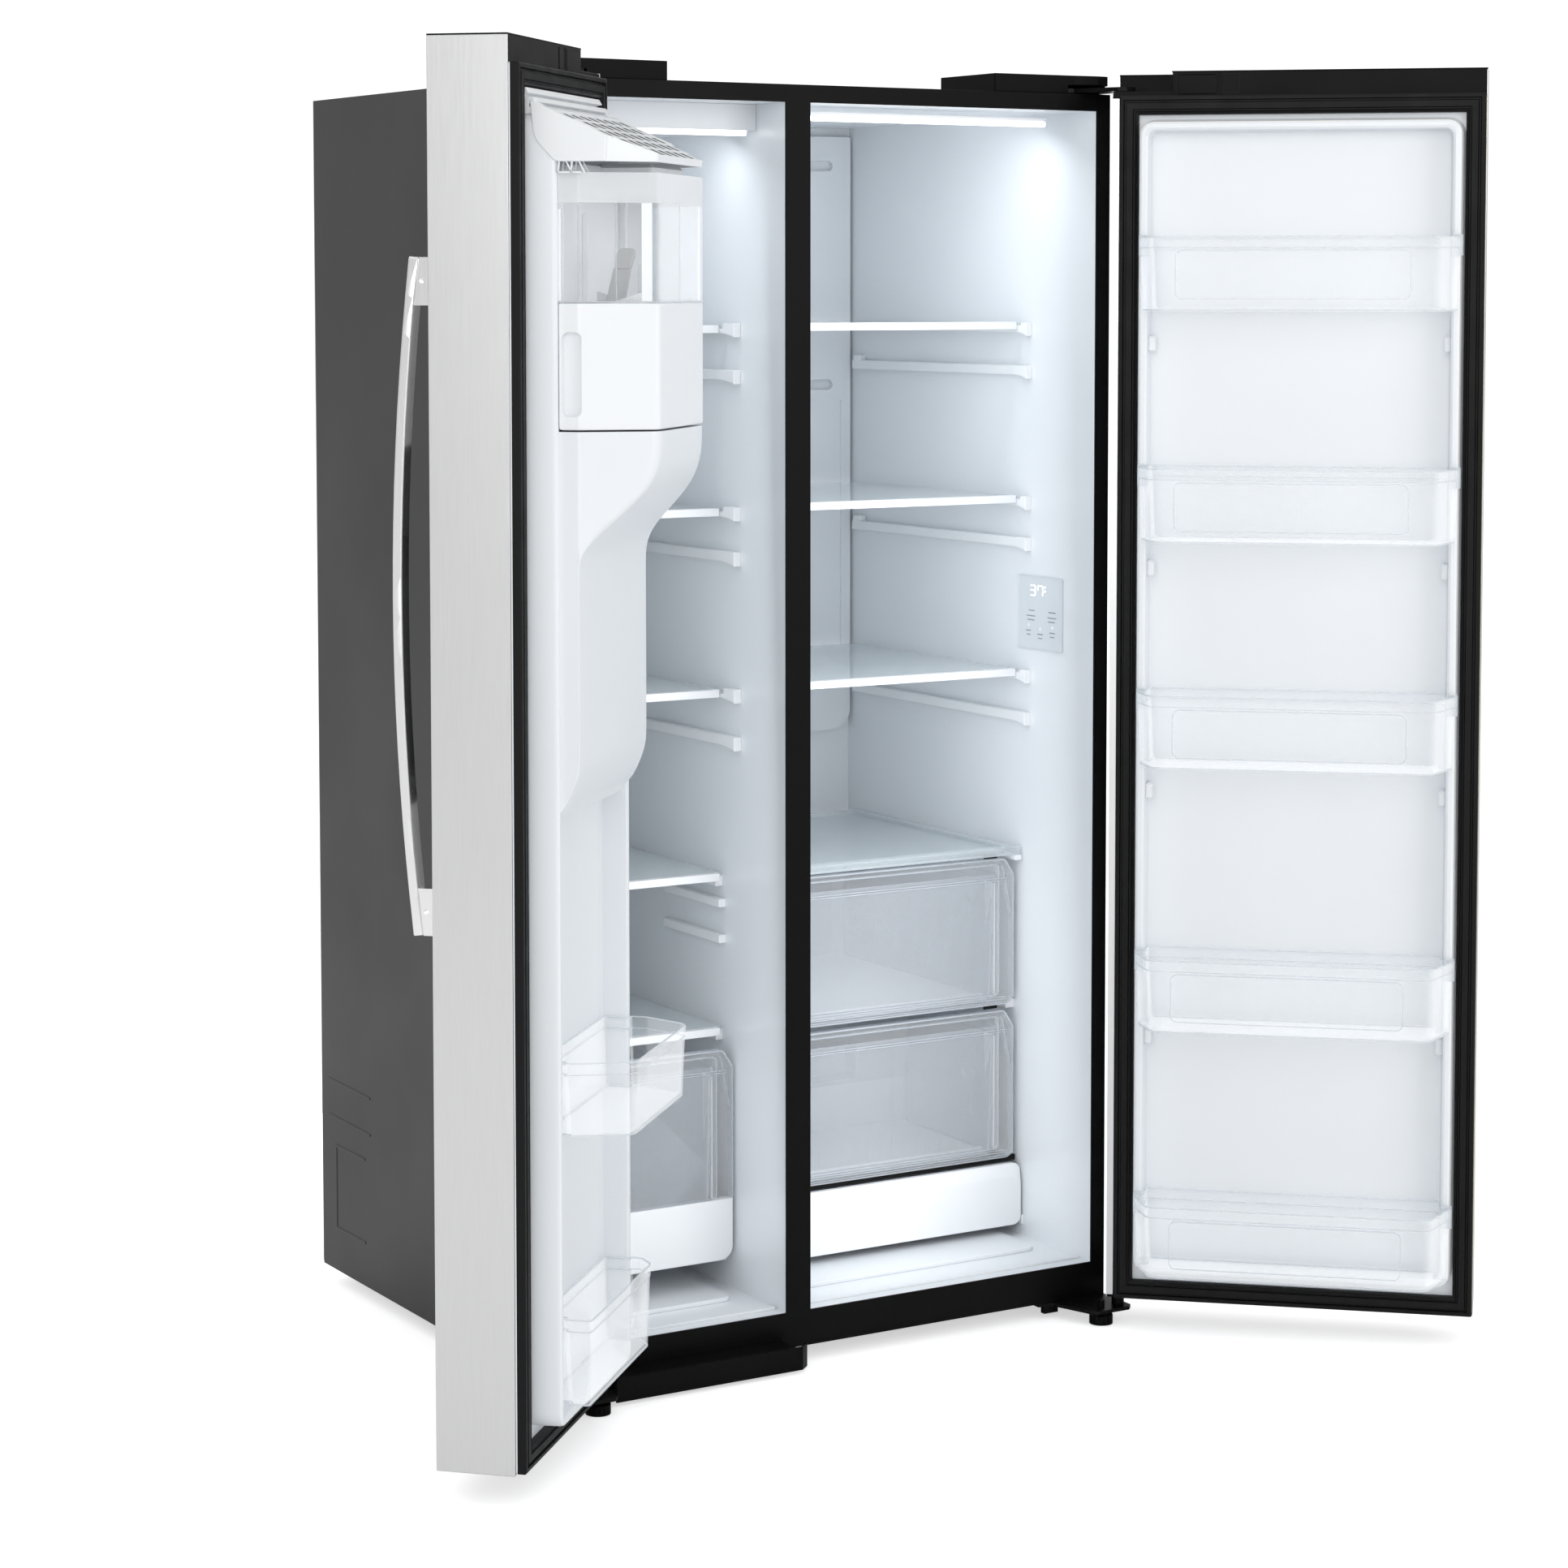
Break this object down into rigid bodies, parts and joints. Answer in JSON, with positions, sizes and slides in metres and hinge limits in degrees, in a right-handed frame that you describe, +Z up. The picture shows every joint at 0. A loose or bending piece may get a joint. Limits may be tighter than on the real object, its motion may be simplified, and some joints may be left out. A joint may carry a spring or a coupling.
{
  "type": "side by side refrigerator",
  "caption": "Side by side refrigerator with open stainless doors, in-door ice maker and dispenser, clear door bins, glass shelves, sliding crispers and bowed handles.",
  "frame": {"origin": "on the floor, midway between the case's side panels, in the plane of the case's front frame", "axes": "+X to the right seen from the front, +Y from the front to the back, +Z up"},
  "size_m": [1.6593, 1.2252, 1.792],
  "materials": {
    "charcoal_paint": "fine textured satin paint",
    "foam": "rigid foam",
    "white_liner": "smooth satin moulded plastic",
    "black_frame": "satin black paint",
    "galvanised_steel": "galvanised spangle",
    "black_enamel": "black enamel",
    "black_plastic": "fine grain",
    "white_plastic": "satin moulded plastic",
    "rubber": "soft matt",
    "roller_plastic": "matt",
    "light_diffuser": "frosted and lit",
    "panel_glass": "clear over white",
    "panel_glass_black": "high gloss",
    "shelf_glass": "clear tempered",
    "clear_plastic": "clear moulded",
    "stainless_steel": "vertical brush",
    "handle_metal": "fine satin brush",
    "auger_metal": "satin",
    "dispenser_plastic": "dark satin"
  },
  "bodies": {
    "cabinet": {"outer_case": "charcoal_paint", "foam_insulation": "foam", "freezer_liner": "white_liner", "fridge_liner": "white_liner", "front_frame": "black_frame", "rear_panel": "galvanised_steel", "compressor_cover": "galvanised_steel", "base_plate": "galvanised_steel", "compressor": "black_enamel", "condenser": "black_enamel", "drain_pan": "black_plastic", "water_valve": "white_plastic", "cord_grommet": "rubber", "kick_plate": "black_plastic", "top_hinges": "black_enamel", "hinge_covers": "black_plastic", "lower_hinges": "black_enamel", "front_feet": "black_plastic", "light_strips": "light_diffuser", "control_panel": "panel_glass", "air_duct": "white_liner", "evaporator_cover": "white_liner", "glass_shelves": "shelf_glass", "shelf_trims": "white_plastic", "shelf_rails": "white_plastic", "crisper_lid": "shelf_glass", "water_filter": "white_plastic"},
    "condenser_fan": {"condenser_fan": "black_plastic"},
    "left_roller": {"left_roller": "roller_plastic"},
    "right_roller": {"right_roller": "roller_plastic"},
    "filter_cover": {"filter_cover": "white_plastic"},
    "upper_crisper": {"upper_crisper": "clear_plastic"},
    "lower_crisper": {"lower_crisper": "clear_plastic"},
    "freezer_drawer": {"freezer_drawer": "clear_plastic", "freezer_drawer_front": "white_plastic"},
    "freezer_door": {"freezer_door_skin": "stainless_steel", "freezer_door_foam": "foam", "freezer_door_liner": "white_liner", "freezer_door_gasket": "rubber", "freezer_door_caps": "black_plastic", "freezer_handle_bar": "handle_metal", "freezer_handle_mounts": "handle_metal", "ice_hood": "white_plastic", "ice_maker": "white_plastic", "freezer_door_bins": "clear_plastic", "dispenser_panel": "panel_glass_black", "dispenser_recess": "dispenser_plastic", "drip_tray": "dispenser_plastic"},
    "ice_bin": {"ice_bin": "clear_plastic", "ice_bin_base": "white_plastic"},
    "ice_auger": {"ice_auger": "auger_metal"},
    "dispenser_paddle": {"dispenser_paddle": "dispenser_plastic"},
    "fridge_door": {"fridge_door_skin": "stainless_steel", "fridge_door_foam": "foam", "fridge_door_liner": "white_liner", "fridge_door_gasket": "rubber", "fridge_door_caps": "black_plastic", "fridge_handle_bar": "handle_metal", "fridge_handle_mounts": "handle_metal", "fridge_door_bins": "clear_plastic"}
  },
  "joints": [
    {"name": "freezer_door_hinge", "type": "hinge", "parent": "cabinet", "child": "freezer_door", "pos_m": [-0.4414, -0.052, 0.9], "axis": [0, 0, -1], "range_deg": [-134.3, 5]},
    {"name": "fridge_door_hinge", "type": "hinge", "parent": "cabinet", "child": "fridge_door", "pos_m": [0.4414, -0.052, 0.9], "axis": [0, 0, 1], "range_deg": [-137.6, 2]},
    {"name": "ice_bin_slide", "type": "slide", "parent": "freezer_door", "child": "ice_bin", "axis": [0.7157, -0.6984, 0], "range_m": [0, 0.12]},
    {"name": "ice_auger_spin", "type": "hinge", "parent": "ice_bin", "child": "ice_auger", "pos_m": [-0.47998, -0.2748, 1.459], "axis": [-0.6984, -0.7157, 0], "continuous": true},
    {"name": "dispenser_paddle_hinge", "type": "hinge", "parent": "freezer_door", "child": "dispenser_paddle", "pos_m": [-0.53007, -0.22591, 1.156], "axis": [-0.6984, -0.7157, 0], "range_deg": [0, 10], "stiffness_Nm_per_rad": 0.5},
    {"name": "upper_crisper_slide", "type": "slide", "parent": "cabinet", "child": "upper_crisper", "axis": [0, -1, 0], "range_m": [0, 0.235]},
    {"name": "lower_crisper_slide", "type": "slide", "parent": "cabinet", "child": "lower_crisper", "axis": [0, -1, 0], "range_m": [0, 0.235]},
    {"name": "freezer_drawer_slide", "type": "slide", "parent": "cabinet", "child": "freezer_drawer", "axis": [0, -1, 0], "range_m": [0, 0.18]},
    {"name": "filter_cover_hinge", "type": "hinge", "parent": "cabinet", "child": "filter_cover", "pos_m": [0.1935, 0.18, 0.097], "axis": [1, 0, 0], "range_deg": [0, 85]},
    {"name": "condenser_fan_spin", "type": "hinge", "parent": "cabinet", "child": "condenser_fan", "pos_m": [-0.07, 0.622, 0.118], "axis": [1, 0, 0], "continuous": true},
    {"name": "left_roller_spin", "type": "hinge", "parent": "cabinet", "child": "left_roller", "pos_m": [-0.4, 0.7, 0.02], "axis": [1, 0, 0], "continuous": true},
    {"name": "right_roller_spin", "type": "hinge", "parent": "cabinet", "child": "right_roller", "pos_m": [0.4, 0.7, 0.02], "axis": [1, 0, 0], "continuous": true}
  ]
}
